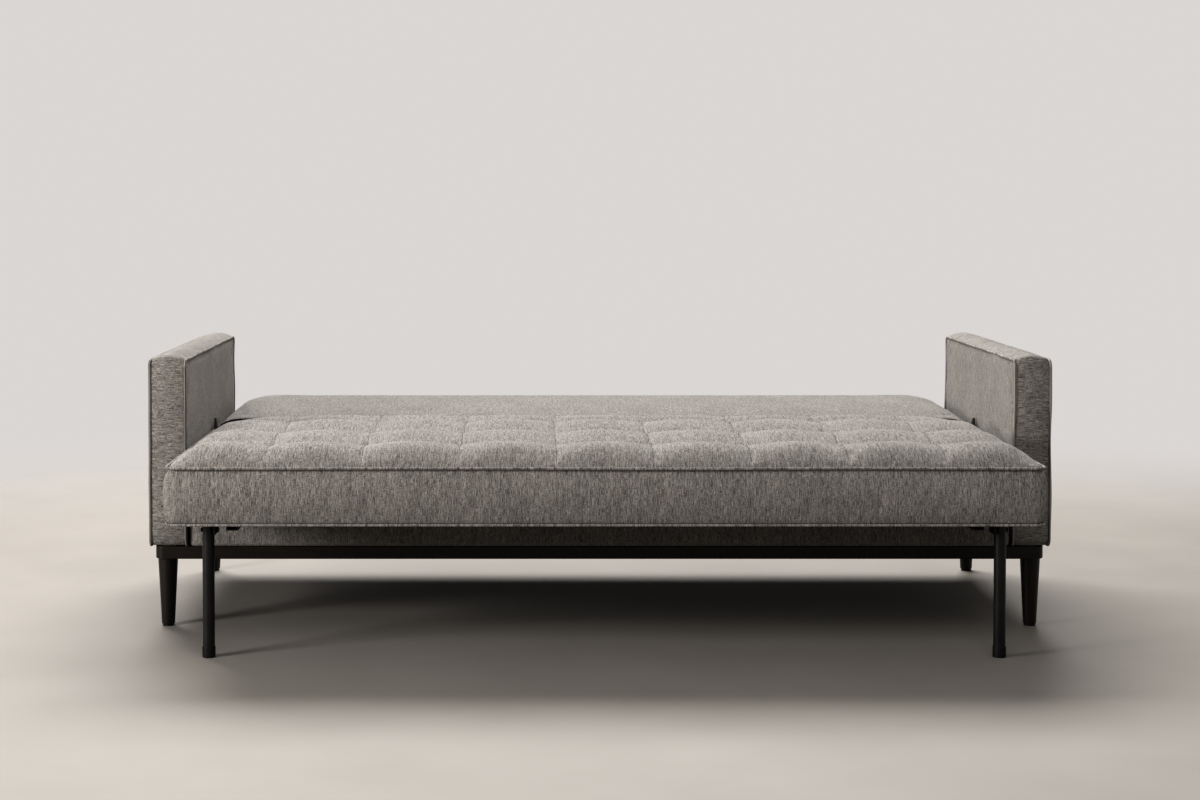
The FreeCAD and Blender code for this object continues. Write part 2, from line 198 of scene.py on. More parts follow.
def settle(piece):
    """Makes what the modifiers do the piece's own mesh."""
    graph = bpy.context.evaluated_depsgraph_get()
    done = bpy.data.meshes.new_from_object(piece.evaluated_get(graph))
    piece.modifiers.clear()
    spare = piece.data
    piece.data = done
    bpy.data.meshes.remove(spare)


def even_out(piece, size):
    """Covers the piece with faces of one size, as cloth needs."""
    remesh = piece.modifiers.new("even", "REMESH")
    remesh.mode = "VOXEL"
    remesh.voxel_size = size
    settle(piece)


def blow_out(piece, sewn, pressure, most, slack=0.0):
    """Fills the cover so that it swells between its sewn points, by no more than most."""
    rest = [vertex.co.copy() for vertex in piece.data.vertices]
    held = piece.vertex_groups.new(name="sewn")
    held.add([i for i, co in enumerate(rest) if sewn(co)], 1.0, "REPLACE")
    cloth = piece.modifiers.new("fill", "CLOTH")
    cloth.settings.quality = 3
    cloth.settings.mass = 0.25
    cloth.settings.tension_stiffness = 12.0
    cloth.settings.compression_stiffness = 12.0
    cloth.settings.shear_stiffness = 4.0
    cloth.settings.bending_stiffness = 0.4
    cloth.settings.use_pressure = True
    cloth.settings.uniform_pressure_force = pressure
    cloth.settings.shrink_min = -slack
    cloth.settings.effector_weights.gravity = 0.0
    cloth.settings.vertex_group_mass = "sewn"
    cloth.collision_settings.use_collision = False
    cloth.point_cache.frame_start = 1
    cloth.point_cache.frame_end = 20
    for step in range(1, 21):
        scene.frame_set(step)
    settle(piece)
    for vertex, start in zip(piece.data.vertices, rest):
        move = vertex.co - start
        if move.length > most:
            vertex.co = start + move * (most / move.length)


def subdivide(piece):
    """One smoothing subdivision, kept in the mesh."""
    fine = piece.modifiers.new("fine", "SUBSURF")
    fine.levels = 1
    fine.render_levels = 1
    settle(piece)


def shade_smooth(piece):
    piece.data.polygons.foreach_set("use_smooth", [True] * len(piece.data.polygons))


def lay_cloth(piece, across_and_along):
    """Gives each face its cloth: across_and_along returns weft and warp distances in metres."""
    cloth = piece.data.uv_layers.new(name="cloth")
    vertices = piece.data.vertices
    for polygon in piece.data.polygons:
        lay = across_and_along(polygon.center, polygon.normal)
        for loop in polygon.loop_indices:
            cloth.data[loop].uv = lay(vertices[piece.data.loops[loop].vertex_index].co)


def bump(t):
    """0 at both ends of a panel and 1 in its middle."""
    return 1.0 - abs(2.0 * min(max(t, 0.0), 1.0) - 1.0) ** 2.0


def near(value, lines):
    """Distance to the nearest of some lines."""
    return min(abs(value - line) for line in lines)


seat_low, seat_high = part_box("seat_cushion")
seat_low = Vector((seat_low.x, seat_low.y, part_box("seat_edge_strips")[0].z))
seat_half = seat_high.x
seat_front = seat_low.y
seat_rear = seat_high.y
seat_floor = seat_low.z
seat_seam_z = 0.420
seat_corner = 0.022
seat_face_size = 0.008
columns = 9
column = 2 * seat_half / columns
column_lines = [-seat_half + column * number for number in range(1, columns)]
row_lines = [seat_front + reach for reach in (0.160, 0.369, 0.578)]
row_bounds = [seat_front] + row_lines + [seat_rear]
edge_rise = 0.023
edge_rise_width = 0.040
tuft_height = 0.0265
tuft_lean = 1.25
tuft_dip_at_columns = 0.24
rear_row_share = 0.62
rear_seam_lift = 0.028
side_bulge = 0.0045
front_bulge = 0.005
row_groove_depth = 0.0055
row_groove_width = 0.0080
column_groove_depth = 0.0014
column_groove_width = 0.0034
crossing_depth = 0.002
seam_pinch = 0.0042


def seam_wander(x, y):
    """How far hand-sewn piping strays up and down, over about half a metre."""
    return 0.0016 * noise.noise(Vector((x * 2.1, y * 2.1, 4.0)))


def row_share(y):
    """How far across its row of tufting a point lies."""
    for low, high in zip(row_bounds, row_bounds[1:]):
        if y <= high:
            return (y - low) / (high - low)
    return 1.0


def edge_distance(x, y):
    """Distance in from the nearest side of the seat."""
    return max(min(seat_half - abs(x), y - seat_front, seat_rear - y), 0.0)


def rear_lift(x, y):
    """The seam along the rear is drawn up between the corners, where the back pushes on it."""
    run_up = 0.14
    fade = 0.050
    clear_of_corner = min(max((seat_half - abs(x)) / run_up, 0.0), 1.0)
    return rear_seam_lift * clear_of_corner * math.exp(-max(seat_rear - y, 0.0) / fade)


def seat_crown(x, y):
    """Height of the sewn-down cover above the top seam, each tuft swelling between its stitches."""
    reach = 0.060
    inset = edge_distance(x, y)
    rise = edge_rise * (1.0 - math.exp(-inset / edge_rise_width)) + rear_lift(x, y)
    across = ((x + seat_half) / column) % 1.0
    between_columns = abs(math.sin(math.pi * across)) ** 1.5
    saddle = 1.0 - tuft_dip_at_columns + tuft_dip_at_columns * between_columns
    tuft = bump(row_share(y) ** tuft_lean) * saddle
    if y > row_lines[-1]:
        tuft *= rear_row_share
    rear_corner = 1.0 - math.exp(-math.hypot(seat_half - abs(x), seat_rear - y) / reach)
    return rise * rear_corner + tuft_height * rear_corner * tuft * min(inset / reach, 1.0)


def boxing_bulge(y, share):
    """How far the side strip swells out: not beside the hinges, and more in front of the arms."""
    hinge_space = 0.06
    run_out = 0.10
    front_run = 0.09
    room = min(max((seat_rear - hinge_space - y) / run_out, 0.0), 1.0)
    clear_of_arms = max(1.0 - (y - seat_front) / front_run, 0.0)
    barrel = 1.0 - abs(2.0 * share - 1.0) ** 2.6
    return (side_bulge * room + front_bulge * clear_of_arms) * barrel


def is_upright(a, b):
    """Whether an edge of the block stands up."""
    return abs(a.z - b.z) > 0.05


seat_piece_low = Vector((-seat_half + 0.001, seat_front + 0.003, seat_floor))
seat_piece_high = Vector((seat_half - 0.001, seat_rear - 0.001, seat_seam_z))
seat = piece_from("seat_cushion_cover", block(
    seat_piece_low, seat_piece_high, is_upright, seat_corner, 5))
even_out(seat, seat_face_size)
seat_height = seat_seam_z - seat_floor
side_band = 0.012
front_band = 0.014
top_share_limit = 0.985
for vertex in seat.data.vertices:
    co = vertex.co
    top_share = min(max((co.z - seat_floor) / seat_height, 0.0), 1.0)
    swell = boxing_bulge(co.y, top_share)
    if abs(co.x) > seat_half - side_band:
        co.x += math.copysign(swell, co.x)
    if co.y < seat_front + front_band:
        co.y -= swell
    co.z += seam_wander(co.x, co.y) * top_share
    if top_share > top_share_limit:
        co.z += seat_crown(co.x, co.y)


top_from_z = seat_seam_z + 0.012


def seat_sewn(co):
    """Seam round the top, seam round the bottom, underside, and the rows of stitches."""
    seam_width = 0.006
    seam_depth = 0.007
    stitch_width = 0.0045
    if co.z < seat_floor + 0.004:
        return True
    if edge_distance(co.x, co.y) < seam_width and abs(co.z - seat_seam_z) < seam_depth:
        return True
    return co.z > top_from_z and near(co.y, row_lines) < stitch_width


blow_out(seat, seat_sewn, 4.0, 0.0045, slack=0.008)
subdivide(seat)
pinch_drop = 0.0065
pinch_width = 0.0042
pinch_band = 0.03
hinge_run = 0.07
hinge_limit = seat_half + 0.001
for vertex in seat.data.vertices:
    co = vertex.co
    if co.z > top_from_z:
        row_groove = math.exp(-(near(co.y, row_lines) / row_groove_width) ** 2)
        column_groove = math.exp(-(near(co.x, column_lines) / column_groove_width) ** 2)
        crossing = row_groove * column_groove
        co.z -= (row_groove_depth * row_groove + column_groove_depth * column_groove
                 + crossing_depth * crossing)
    else:
        below = seat_seam_z + seam_wander(co.x, co.y) - pinch_drop - co.z
        pinch = seam_pinch * math.exp(-(below / pinch_width) ** 2)
        co.x -= math.copysign(pinch, co.x) if abs(co.x) > seat_half - pinch_band else 0.0
        co.y += pinch if co.y < seat_front + pinch_band else 0.0
    if co.y > seat_rear - hinge_run:
        co.x = min(max(co.x, -hinge_limit), hinge_limit)
shade_smooth(seat)


def seat_panels(centre, normal):
    """Warp runs front to back on top and down the boxing."""
    if centre.z > seat_seam_z + 0.002 or normal.z < -0.7:
        return lambda co: (co.x, co.y - seat_front + seat_seam_z)
    if abs(normal.x) > 0.7:
        return lambda co: (co.y, co.z)
    return lambda co: (co.x, co.z)


lay_cloth(seat, seat_panels)


def weave_group():
    """Heathered slub cloth: uneven warp yarns crossed by finer weft, with light and dark fibres."""
    tree = bpy.data.node_groups.new("slub weave", "ShaderNodeTree")
    faces = tree.interface
    faces.new_socket("Cloth", in_out="INPUT", socket_type="NodeSocketVector")
    for name, value in (("Pitch", 0.0016), ("Slub", 1.0)):
        socket = faces.new_socket(name, in_out="INPUT", socket_type="NodeSocketFloat")
        socket.default_value = value
    for name in ("Dark", "Light"):
        faces.new_socket(name, in_out="INPUT", socket_type="NodeSocketColor")
    faces.new_socket("Colour", in_out="OUTPUT", socket_type="NodeSocketColor")
    faces.new_socket("Height", in_out="OUTPUT", socket_type="NodeSocketFloat")
    add = node_maker(tree)
    given = add("GroupInput")
    cloth = given.outputs["Cloth"]

    def streaks(across, along, detail):
        """Noise drawn out along the cloth, as yarns are."""
        stretched = add("VectorMath", {"operation": "MULTIPLY"}, i0=cloth,
                        i1=(1.0 / across, 1.0 / along, 1.0)).outputs["Vector"]
        return add("TexNoise", None, Vector=stretched, Scale=1.0, Detail=detail,
                   Roughness=0.62).outputs["Fac"]

    def sums(parts, offset):
        """Weighted sum of noises about their middle value."""
        total = offset
        for value, weight in parts:
            total = add("Math", {"operation": "MULTIPLY_ADD"}, i0=value, i1=weight,
                        i2=total).outputs["Value"]
        return total

    warp = streaks(0.0013, 0.020, 1.0)
    fine_warp = streaks(0.0010, 0.008, 1.0)
    weft = streaks(0.010, 0.0013, 1.0)
    fibre = streaks(0.0013, 0.0022, 1.0)
    slub = streaks(0.0042, 0.085, 1.0)
    tone = streaks(0.11, 0.16, 2.0)
    parts = [(warp, 1.7), (fine_warp, 1.4), (weft, 1.0), (fibre, 1.2), (slub, 0.6), (tone, 0.3)]
    mixed = sums(parts, 0.5 - 0.5 * sum(weight for value, weight in parts))
    cross = add("SeparateXYZ", None, Vector=cloth)
    turn = add("Math", {"operation": "DIVIDE"}, i0=math.pi,
               i1=given.outputs["Pitch"]).outputs["Value"]

    def thread(axis):
        """Up and down of the threads that cross one axis."""
        phase = add("Math", {"operation": "MULTIPLY"}, i0=cross.outputs[axis],
                    i1=turn).outputs["Value"]
        return add("Math", {"operation": "SINE"}, i0=phase).outputs["Value"]

    over_under = add("Math", {"operation": "MULTIPLY"}, i0=thread("X"),
                     i1=thread("Y")).outputs["Value"]
    relief = add("Math", {"operation": "MULTIPLY_ADD"}, i0=over_under, i1=0.28,
                 i2=mixed).outputs["Value"]
    slubs = add("Math", {"operation": "MULTIPLY_ADD"}, i0=warp, i1=given.outputs["Slub"],
                i2=relief).outputs["Value"]
    colour = add("Mix", {"data_type": "RGBA"}, Factor=relief)
    tree.links.new(given.outputs["Dark"], colour.inputs["A"])
    tree.links.new(given.outputs["Light"], colour.inputs["B"])
    warmth = add("HueSaturation", None, Hue=0.5, Saturation=sums([(weft, 0.9)], 0.55),
                 Value=1.0, Color=colour.outputs["Result"])
    done = add("GroupOutput")
    tree.links.new(warmth.outputs["Color"], done.inputs["Colour"])
    tree.links.new(slubs, done.inputs["Height"])
    return tree


slub_weave = weave_group()


def cover_cloth(name, from_uv=True, tone=1.0):
    """The grey upholstery cloth, read along the cover's own panels or through its bulk. A tone below
    1 darkens the whole cloth as painted shade.
    """
    material, add = node_material(name)
    source = add("TexCoord").outputs["Object"]
    if from_uv:
        source = add("UVMap", {"uv_map": "cloth"}).outputs["UV"]
    weave = add("Group", {"node_tree": slub_weave}, Cloth=source, Pitch=0.0016, Slub=0.8,
                Dark=(0.105 * tone, 0.098 * tone, 0.092 * tone, 1.0),
                Light=(0.56 * tone, 0.53 * tone, 0.495 * tone, 1.0))
    relief = add("Bump", None, Height=weave.outputs["Height"], Strength=0.55, Distance=0.0012)
    return surface(material, add, Base_Color=weave.outputs["Colour"], Roughness=0.92,
                   Specular_IOR_Level=0.18, Sheen_Weight=0.22, Sheen_Roughness=0.5,
                   Normal=relief.outputs["Normal"])


grey_cloth = cover_cloth("heathered grey cloth")
seat.data.materials.append(grey_cloth)
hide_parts("seat_cushion", "seat_edge_strips")
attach(seat, "seat")


# Quilting thread: grey polyester, two lengths of it sewn through the cushion and showing as a row
# of short stitches sunk in every channel.
thread_radius = 0.0006
stitch_length = 0.0062
stitch_pitch = 0.0085


def thread_finish():
    """Twisted thread, darker than the cloth it lies in."""
    material, add = node_material("grey quilting thread")
    place = add("TexCoord").outputs["Object"]
    twist = add("TexWave", {"bands_direction": "DIAGONAL"}, Vector=place,
                Scale=900.0).outputs["Fac"]
    colour = colour_steps(add, twist, [(0.2, (0.050, 0.046, 0.043)), (0.8, (0.115, 0.107, 0.100))])
    relief = add("Bump", None, Height=twist, Strength=0.4, Distance=0.0003)
    return surface(material, add, Base_Color=colour, Roughness=0.7, Specular_IOR_Level=0.3,
                   Normal=relief.outputs["Normal"])


def quilting():
    """Every stitch of the channels, laid on the finished cover."""
    cover = BVHTree.FromObject(seat, bpy.context.evaluated_depsgraph_get())
    down = Vector((0.0, 0.0, -1.0))
    bm = bmesh.new()
    margin = 0.012
    above = 0.6
    lines = [(Vector((x, seat_front + margin, above)), Vector((x, seat_rear - margin, above)))
             for x in column_lines]
    lines += [(Vector((-seat_half + margin, y, above)), Vector((seat_half - margin, y, above)))
              for y in row_lines]
    for start, end in lines:
        along = (end - start).normalized()
        for number in range(int((end - start).length / stitch_pitch)):
            centre = start + along * (number + 0.5) * stitch_pitch
            touched, facing = cover.ray_cast(centre, down)[:2]
            before = cover.ray_cast(centre - along * stitch_length / 2, down)[0]
            after = cover.ray_cast(centre + along * stitch_length / 2, down)[0]
            if not (touched and before and after):
                continue
            tilt = (after - before).to_track_quat("Z", "Y").to_matrix().to_4x4()
            tilt.translation = touched + facing * thread_radius * 0.5
            made = bmesh.ops.create_icosphere(bm, subdivisions=1, radius=1.0)["verts"]
            bmesh.ops.scale(bm, vec=(thread_radius, thread_radius, stitch_length / 2), verts=made)
            bmesh.ops.transform(bm, matrix=tilt, verts=made)
    piece = piece_from("seat_quilting_thread", bm)
    shade_smooth(piece)
    piece.data.materials.append(thread_finish())
    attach(piece, "seat")


quilting()


# Seat piping: a cord covered in the same cloth cut on the bias, sewn into the seam round the top
# of the boxing and round the bottom.
piping_cloth = cover_cloth("bias-cut piping cloth", from_uv=False)
piping_radius = 0.0030


def ring_of_points(half_a, low_b, high_b, corner, step):
    """Points round a rectangle with rounded corners, as pairs."""
    arc_parts = 6
    points = []
    centres = [(half_a - corner, high_b - corner, 0), (-half_a + corner, high_b - corner, 90),
               (-half_a + corner, low_b + corner, 180), (half_a - corner, low_b + corner, 270)]
    for a, b, start in centres:
        for part in range(arc_parts + 1):
            angle = math.radians(start + 90 / arc_parts * part)
            points.append(Vector((a + corner * math.cos(angle), b + corner * math.sin(angle))))
    full = []
    for here, there in zip(points, points[1:] + points[:1]):
        count = max(1, round((there - here).length / step))
        full += [here.lerp(there, part / count) for part in range(count)]
    return full


def piping(name, points, body):
    """A round cord along a closed line of points."""
    curve = bpy.data.curves.new(name, "CURVE")
    curve.dimensions = "3D"
    curve.bevel_depth = piping_radius
    curve.bevel_resolution = 3
    line = curve.splines.new("POLY")
    line.points.add(len(points) - 1)
    for point, co in zip(line.points, points):
        point.co = (*co, 1.0)
    line.use_cyclic_u = True
    strand = bpy.data.objects.new(name, curve)
    data = bpy.data.meshes.new_from_object(strand)
    bpy.data.objects.remove(strand)
    piece = bpy.data.objects.new(name, data)
    scene.collection.objects.link(piece)
    shade_smooth(piece)
    data.materials.clear()
    data.materials.append(piping_cloth)
    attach(piece, body)
    return piece


cord_corner = 0.023
cord_step = 0.02
for name, level, drop in (("seat_piping_top", seat_seam_z, 1.0),
                          ("seat_piping_bottom", seat_floor, 0.0)):
    loop = ring_of_points(seat_half + 0.0015, seat_front + 0.0005, seat_rear, cord_corner, cord_step)
    piping(name, [Vector((a, b, level + 0.001 + (seam_wander(a, b) + rear_lift(a, b)) * drop))
                  for a, b in loop], "seat")


# Back cushion: a smooth crowned slab in one cover with soft far corners, in the seat's cloth
# made a little darker all over, which is painted shade. The end towards the seat is faced with
# black lining.
back_low, back_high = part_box("back_cushion")
back_half = back_high.x
back_edge_z = 0.438
back_corner = 0.097
back_face_size = 0.009
side_gap = 0.002
far_gap = 0.004


def far_corner(a, b):
    """Whether an edge of the block is an upright one at the far side."""
    return abs(a.z - b.z) > 0.05 and a.y > back_high.y - 0.01


def mouth_line(z):
    """The end towards the seat stands upright, then leans back to the seam along its top."""
    lean = 0.016
    lean_from_z = 0.400
    lean_height = 0.036
    return back_low.y + side_gap + lean * min(max((z - lean_from_z) / lean_height, 0.0), 1.0)


def back_sewn(co):
    """Underside, and the lined end."""
    return co.z < back_low.z + 0.006 or co.y < mouth_line(co.z) + 0.004


back_skin = block(Vector((-back_half + side_gap, back_low.y + side_gap, back_low.z)),
                  Vector((back_half - side_gap, back_high.y - far_gap, back_edge_z)),
                  far_corner, back_corner, 10)
back = piece_from("back_cushion_cover", back_skin)
even_out(back, back_face_size)


def back_edge_distance(x, y):
    """Distance to the nearest side or far edge, with the far corners rounded."""
    in_x = back_half - abs(x)
    in_y = back_high.y - y
    if in_x < back_corner and in_y < back_corner:
        return max(back_corner - math.hypot(back_corner - in_x, back_corner - in_y), 0.0)
    return max(min(in_x, in_y), 0.0)


def soften(depth, radius):
    """How far a rounded edge falls at some depth in from it."""
    if depth >= radius:
        return 0.0
    return radius - math.sqrt(radius * radius - (radius - depth) ** 2)


def back_crown(inset, mouth):
    """Height of the slab's top above its edge, lower along its sides and towards the seat."""
    side_fall = 0.018 * math.exp(-(inset / 0.050) ** 1.3)
    mouth_fall = 0.022 * math.exp(-(mouth / 0.14) ** 1.1)
    return 0.026 - math.hypot(side_fall, mouth_fall)


back_height = back_edge_z - back_low.z
lean_run = 0.08
for vertex in back.data.vertices:
    co = vertex.co
    share = (co.z - back_low.z) / back_height
    inset = back_edge_distance(co.x, co.y)
    mouth = max(co.y - back_low.y, 0.0)
    if share > 0.5:
        far = back_high.y - far_gap - co.y
        fall = 0.5 * soften(inset, 0.016) + 0.5 * soften(max(far, 0.0), 0.050)
        co.z += (back_crown(inset, mouth) - fall) * (share - 0.5) * 2.0
    else:
        co.z += soften(inset, 0.018) * (0.5 - share) * 2.0
    mouth_depth = co.y - back_low.y - side_gap
    co.y += (mouth_line(co.z) - back_low.y - side_gap) * max(1.0 - mouth_depth / lean_run, 0.0)
blow_out(back, back_sewn, 2.5, 0.004, slack=0.006)
subdivide(back)
shade_smooth(back)


def back_panels(centre, normal):
    """Warp runs from the seat to the far edge, over it and down."""
    if abs(normal.x) > 0.75:
        return lambda co: (co.y, co.z)
    if abs(normal.y) > 0.75:
        return lambda co: (co.x, co.z)
    return lambda co: (co.x, co.y)


lay_cloth(back, back_panels)
# Painted shade: the back cover is the seat's cloth made 13% darker, standing in for the weaker light
# on the slab, not a different cloth.
back_cloth_painted_shade = cover_cloth("heathered grey cloth, darkened as painted shade", tone=0.87)
back.data.materials.append(back_cloth_painted_shade)


def lining_cloth():
    """Thin black spun-bonded lining with a faint pressed grid."""
    material, add = node_material("black lining")
    place = add("TexCoord").outputs["Object"]
    fibre = add("TexNoise", None, Vector=place, Scale=900.0, Detail=3.0).outputs["Fac"]
    dots = add("TexVoronoi", None, Vector=place, Scale=380.0).outputs["Distance"]
    colour = colour_steps(add, fibre, [(0.3, (0.008, 0.008, 0.009)), (0.75, (0.030, 0.029, 0.029))])
    relief = add("Bump", None, Height=dots, Strength=0.5, Distance=0.0006)
    return surface(material, add, Base_Color=colour, Roughness=0.95, Specular_IOR_Level=0.2,
                   Normal=relief.outputs["Normal"])


black_lining = lining_cloth()
back.data.materials.append(black_lining)
for polygon in back.data.polygons:
    if polygon.center.y < mouth_line(polygon.center.z) + 0.006 and polygon.normal.y < -0.45:
        polygon.material_index = 1
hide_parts("back_cushion")
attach(back, "backrest")


# Arms: a wooden core wrapped in foam, with an inner and an outer panel, a band of cloth round
# the edge between them, and piping in both seams.
arm_corner = 0.018
arm_top_crown = 0.010
arm_front_crown = 0.003
arm_face_size = 0.007


def arm_cover(side):
    """One upholstered arm and its two lines of piping."""
    name = "arm_cover_" + side
    node = "arm_pad_" + side
    low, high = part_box(node)
    sign = 1.0 if side == "right" else -1.0
    start = Vector((low.x + 0.002, low.y + 0.004, low.z + 0.001))
    end = Vector((high.x - 0.002, high.y - 0.004, high.z + 0.002))
    half_y = (end.y - start.y) / 2
    centre_y = (start.y + end.y) / 2
    half_z = (end.z - start.z) / 2
    centre_z = (start.z + end.z) / 2
    skin = block(start, end, lambda a, b: abs(a.x - b.x) > 0.02, arm_corner, 6)
    piece = piece_from(name, skin)
    even_out(piece, arm_face_size)
    for vertex in piece.data.vertices:
        co = vertex.co
        across = (co.x - start.x) / (end.x - start.x)
        swell = 1.0 - abs(2.0 * across - 1.0) ** 2.2
        up = (co.z - centre_z) / half_z
        along = (co.y - centre_y) / half_y
        co.z += arm_top_crown * swell * max(up, 0.0) ** 8
        co.y += arm_front_crown * swell * math.copysign(abs(along) ** 12, along)
        co.x += 0.0012 * noise.noise(Vector((co.y * 5.0, co.z * 5.0, 3.0 * sign)))

    def sewn(co):
        """Both seams and the underside."""
        at_side = co.x < start.x + 0.005 or co.x > end.x - 0.005
        at_rim = min(co.y - start.y, end.y - co.y, co.z - start.z, end.z - co.z) < 0.006
        return (at_side and at_rim) or co.z < start.z + 0.003

    blow_out(piece, sewn, 2.2, 0.006, slack=0.010)
    inner_limit = min(abs(low.x), abs(high.x)) - 0.001
    for vertex in piece.data.vertices:
        if abs(vertex.co.x) < inner_limit:
            vertex.co.x = sign * inner_limit
    subdivide(piece)
    shade_smooth(piece)

    def panels(centre, normal):
        """Warp runs up the side panels and along the band round the edge."""
        if abs(normal.x) > 0.7:
            return lambda co: (co.y, co.z)
        if abs(normal.y) > 0.7:
            return lambda co: (co.z, co.x + 0.3)
        return lambda co: (co.y, co.x)

    lay_cloth(piece, panels)
    piece.data.materials.append(grey_cloth)
    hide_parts(node)
    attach(piece, "base")
    loop = ring_of_points(half_y + 0.001, start.z + 0.001, end.z + 0.001, arm_corner, cord_step)
    loop = [Vector((a, b - 0.002 if b > centre_z else b)) for a, b in loop]
    inner_x, outer_x = (start.x, end.x) if sign > 0 else (end.x, start.x)
    for face, x in (("inner", inner_x), ("outer", outer_x)):
        points = []
        for a, b in loop:
            stray = 0.0030 * noise.noise(Vector((a * 8.0, b * 8.0, 7.0 * sign)))
            points.append(Vector((x + stray, centre_y + a, b)))
        piping("arm_piping_" + face + "_" + side, points, "base")


for side in ("left", "right"):
    arm_cover(side)


# Front and rear panels of the box between the arms: thin foam and the same cloth over a board.
def fascia_panels(centre, normal):
    """Warp runs up the panel and over its top edge."""
    if abs(normal.z) < 0.6:
        return lambda co: (co.x, co.z)
    return lambda co: (co.x, co.y)


def panel_cover(name, node):
    """A thin padded panel with soft edges and slight ripples."""
    low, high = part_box(node)
    skin = block(low + Vector((0.0, 0.001, 0.0)), high - Vector((0.0, 0.001, 0.001)),
                 lambda a, b: True, 0.009, 4)
    long_edges = [edge for edge in skin.edges
                  if abs(edge.verts[0].co.x - edge.verts[1].co.x) > 0.5]
    bmesh.ops.subdivide_edges(skin, edges=long_edges, cuts=60, use_grid_fill=True)
    piece = piece_from(name, skin)
    for vertex in piece.data.vertices:
        vertex.co.y += noise.noise(vertex.co * 6.0) * 0.0016
    shade_smooth(piece)
    lay_cloth(piece, fascia_panels)
    piece.data.materials.append(grey_cloth)
    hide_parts(node)
    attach(piece, "base")


panel_cover("front_fascia_cover", "front_fascia")
panel_cover("rear_fascia_cover", "rear_fascia")


# Plinth and tapered legs: beech stained black-brown under a thin satin lacquer. The grain runs
# along each rail and up each leg. Boards, slats and arm cores are bare pine.
def wood_group():
    """Straight grain: long streaks, fine pores and slow changes of tone."""
    tree = bpy.data.node_groups.new("straight grain", "ShaderNodeTree")
    faces = tree.interface
    faces.new_socket("Place", in_out="INPUT", socket_type="NodeSocketVector")
    for name in ("Dark", "Light"):
        faces.new_socket(name, in_out="INPUT", socket_type="NodeSocketColor")
    faces.new_socket("Colour", in_out="OUTPUT", socket_type="NodeSocketColor")
    faces.new_socket("Height", in_out="OUTPUT", socket_type="NodeSocketFloat")
    add = node_maker(tree)
    given = add("GroupInput")
    rings = add("TexNoise", None, Vector=given.outputs["Place"], Scale=1.0, Detail=5.0,
                Roughness=0.6, Distortion=0.4).outputs["Fac"]
    closer = add("VectorMath", {"operation": "MULTIPLY"}, i0=given.outputs["Place"],
                 i1=(4.0, 4.0, 4.0)).outputs["Vector"]
    pores = add("TexNoise", None, Vector=closer, Scale=1.0, Detail=3.0).outputs["Fac"]
    streaks = add("Math", {"operation": "MULTIPLY_ADD"}, i0=rings, i1=1.6, i2=-0.55)
    grain = add("Math", {"operation": "MULTIPLY_ADD"}, i0=pores, i1=0.5, i2=streaks.outputs["Value"])
    colour = add("Mix", {"data_type": "RGBA", "clamp_factor": True}, Factor=grain.outputs["Value"])
    tree.links.new(given.outputs["Dark"], colour.inputs["A"])
    tree.links.new(given.outputs["Light"], colour.inputs["B"])
    done = add("GroupOutput")
    tree.links.new(colour.outputs["Result"], done.inputs["Colour"])
    tree.links.new(grain.outputs["Value"], done.inputs["Height"])
    return tree


straight_grain = wood_group()


def wood(name, stretch, dark, light, roughness, coat):
    """Wood whose grain is drawn out along the axis with the smallest number in stretch."""
    material, add = node_material(name)
    place = add("Mapping", None, Vector=add("TexCoord").outputs["Object"], Scale=stretch)
    grain = add("Group", {"node_tree": straight_grain}, Place=place.outputs["Vector"],
                Dark=(*dark, 1.0), Light=(*light, 1.0))
    relief = add("Bump", None, Height=grain.outputs["Height"], Strength=0.25, Distance=0.0006)
    return surface(material, add, Base_Color=grain.outputs["Colour"], Roughness=roughness,
                   Coat_Weight=coat, Coat_Roughness=0.35, Specular_IOR_Level=0.35,
                   Normal=relief.outputs["Normal"])


stain_dark = (0.006, 0.0042, 0.0034)
stain_light = (0.022, 0.014, 0.010)
pine_dark = (0.38, 0.25, 0.14)
pine_light = (0.66, 0.50, 0.33)
grain_along = {"X": (4.0, 90.0, 90.0), "Y": (90.0, 4.0, 90.0), "Z": (90.0, 90.0, 4.0)}
stained = {axis: wood("black-brown stained beech " + axis, stretch, stain_dark, stain_light,
                      0.42, 0.25)
           for axis, stretch in grain_along.items()}
pine = {axis: wood("planed pine " + axis, stretch, pine_dark, pine_light, 0.7, 0.0)
        for axis, stretch in grain_along.items()}


def finish_nodes(finish, *names):
    """Puts one finish on some CAD nodes."""
    for name in names:
        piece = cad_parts[name]
        piece.data.materials.clear()
        piece.data.materials.append(finish)


finish_nodes(stained["X"], "plinth_front_rail", "plinth_rear_rail")
finish_nodes(stained["Y"], "plinth_side_rail_left", "plinth_side_rail_right", "plinth_middle_rail")
finish_nodes(stained["Z"], "leg_front_left", "leg_front_right", "leg_rear_left", "leg_rear_right")
finish_nodes(pine["X"], "front_board", "rear_board")
finish_nodes(pine["Y"], "side_board_left", "side_board_right", "runner_board_left",
             "runner_board_right", "seat_slats", "back_slats", "arm_core_left", "arm_core_right")


# Tube legs, carriage, channels, brackets, hinge plates, their pins and the legs' pivot bolts: steel
# in a fine black powder coat.
def powder_coat():
    """Black powder coat with its orange-peel texture."""
    material, add = node_material("black powder coat")
    place = add("TexCoord").outputs["Object"]
    peel = add("TexNoise", None, Vector=place, Scale=1400.0, Detail=2.0).outputs["Fac"]
    dust = add("TexNoise", None, Vector=place, Scale=38.0, Detail=5.0).outputs["Fac"]
    colour = colour_steps(add, dust, [(0.35, (0.0085, 0.0085, 0.0088)),
                                      (0.75, (0.017, 0.0165, 0.016))])
    gloss = add("MapRange", None, Value=dust, To_Min=0.34, To_Max=0.5)
    relief = add("Bump", None, Height=peel, Strength=0.25, Distance=0.0004)
    return surface(material, add, Base_Color=colour, Roughness=gloss.outputs["Result"],
                   Metallic=0.0, Specular_IOR_Level=0.5, Normal=relief.outputs["Normal"])


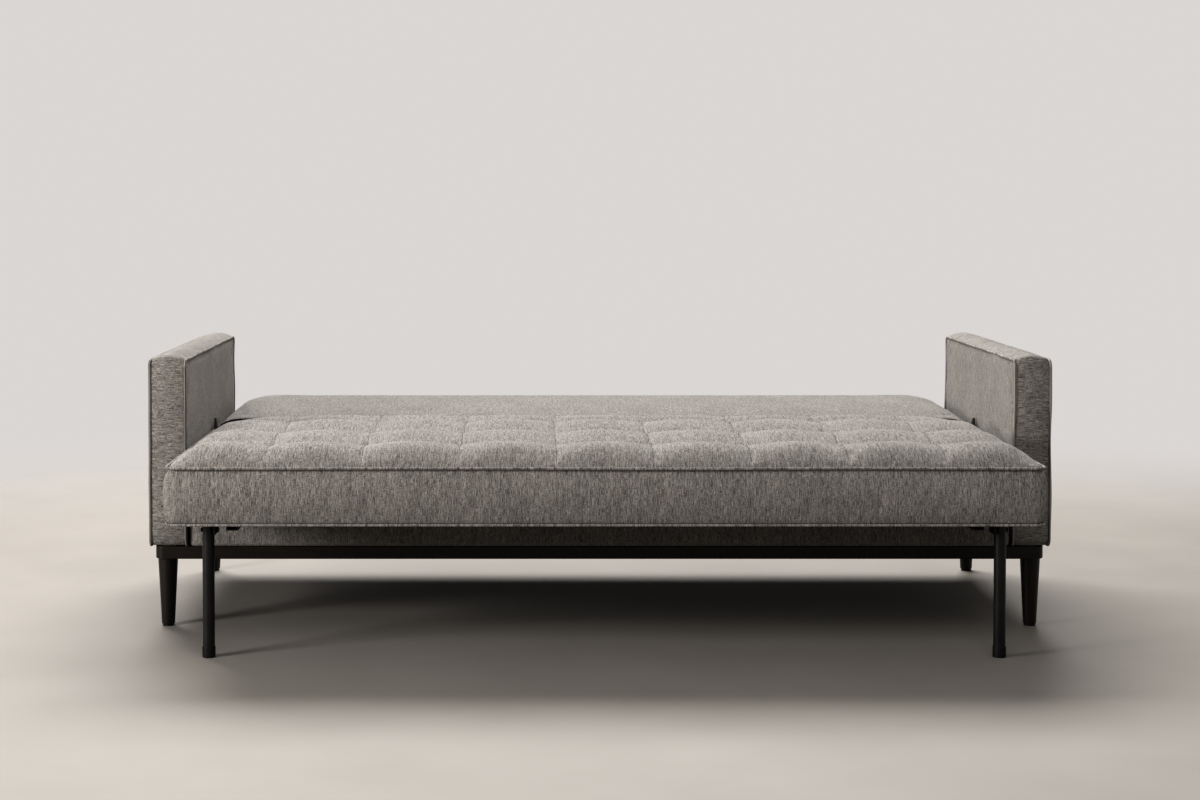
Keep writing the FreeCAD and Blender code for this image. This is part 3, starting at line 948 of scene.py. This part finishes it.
black_steel = powder_coat()
finish_nodes(black_steel, *[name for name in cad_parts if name.startswith((
    "support_tube", "seat_side_rail", "seat_front_rail", "seat_middle_rail", "seat_hinge",
    "guide_channel", "leg_bracket", "back_hinge", "back_lower_rail", "back_upper_rail",
    "back_side_rail", "carriage_hangers", "hinge_pins", "leg_pivot_bolts"))])


# Bolts and screws that hold the wood and the glides: zinc-plated steel, slightly dulled, with fine
# turning marks.
def zinc():
    """Zinc plate with fine turning marks."""
    material, add = node_material("zinc plate")
    place = add("TexCoord").outputs["Object"]
    marks = add("TexNoise", None, Vector=place, Scale=600.0, Detail=3.0).outputs["Fac"]
    gloss = add("MapRange", None, Value=marks, To_Min=0.25, To_Max=0.45)
    colour = colour_steps(add, marks, [(0.3, (0.40, 0.40, 0.42)), (0.7, (0.55, 0.55, 0.56))])
    return surface(material, add, Base_Color=colour, Roughness=gloss.outputs["Result"],
                   Metallic=1.0)


zinc_plate = zinc()
finish_nodes(zinc_plate, "leg_hanger_bolts", "arm_bolts", "channel_screws", "glide_bolts")


# Foot caps, glides and buffers: moulded black plastic and rubber. The lining inside the back and
# the dust cover below are thin black cloth.
def moulded(name, dark, light, roughness):
    """Moulded plastic or rubber with a fine eroded texture."""
    material, add = node_material(name)
    place = add("TexCoord").outputs["Object"]
    grit = add("TexNoise", None, Vector=place, Scale=900.0, Detail=3.0).outputs["Fac"]
    haze = add("TexNoise", None, Vector=place, Scale=45.0, Detail=4.0).outputs["Fac"]
    colour = colour_steps(add, haze, [(0.3, dark), (0.75, light)])
    relief = add("Bump", None, Height=grit, Strength=0.3, Distance=0.0003)
    return surface(material, add, Base_Color=colour, Roughness=roughness, Specular_IOR_Level=0.4,
                   Normal=relief.outputs["Normal"])


black_plastic = moulded("moulded black plastic", (0.008, 0.008, 0.009), (0.017, 0.017, 0.017), 0.5)
rubber = moulded("black rubber", (0.010, 0.010, 0.010), (0.022, 0.021, 0.020), 0.8)
finish_nodes(black_plastic, "support_foot_cap_left", "support_foot_cap_right", "seat_glides",
             "leg_glides")
finish_nodes(rubber, "rear_buffers")
finish_nodes(black_lining, "back_lining", "dust_cover")
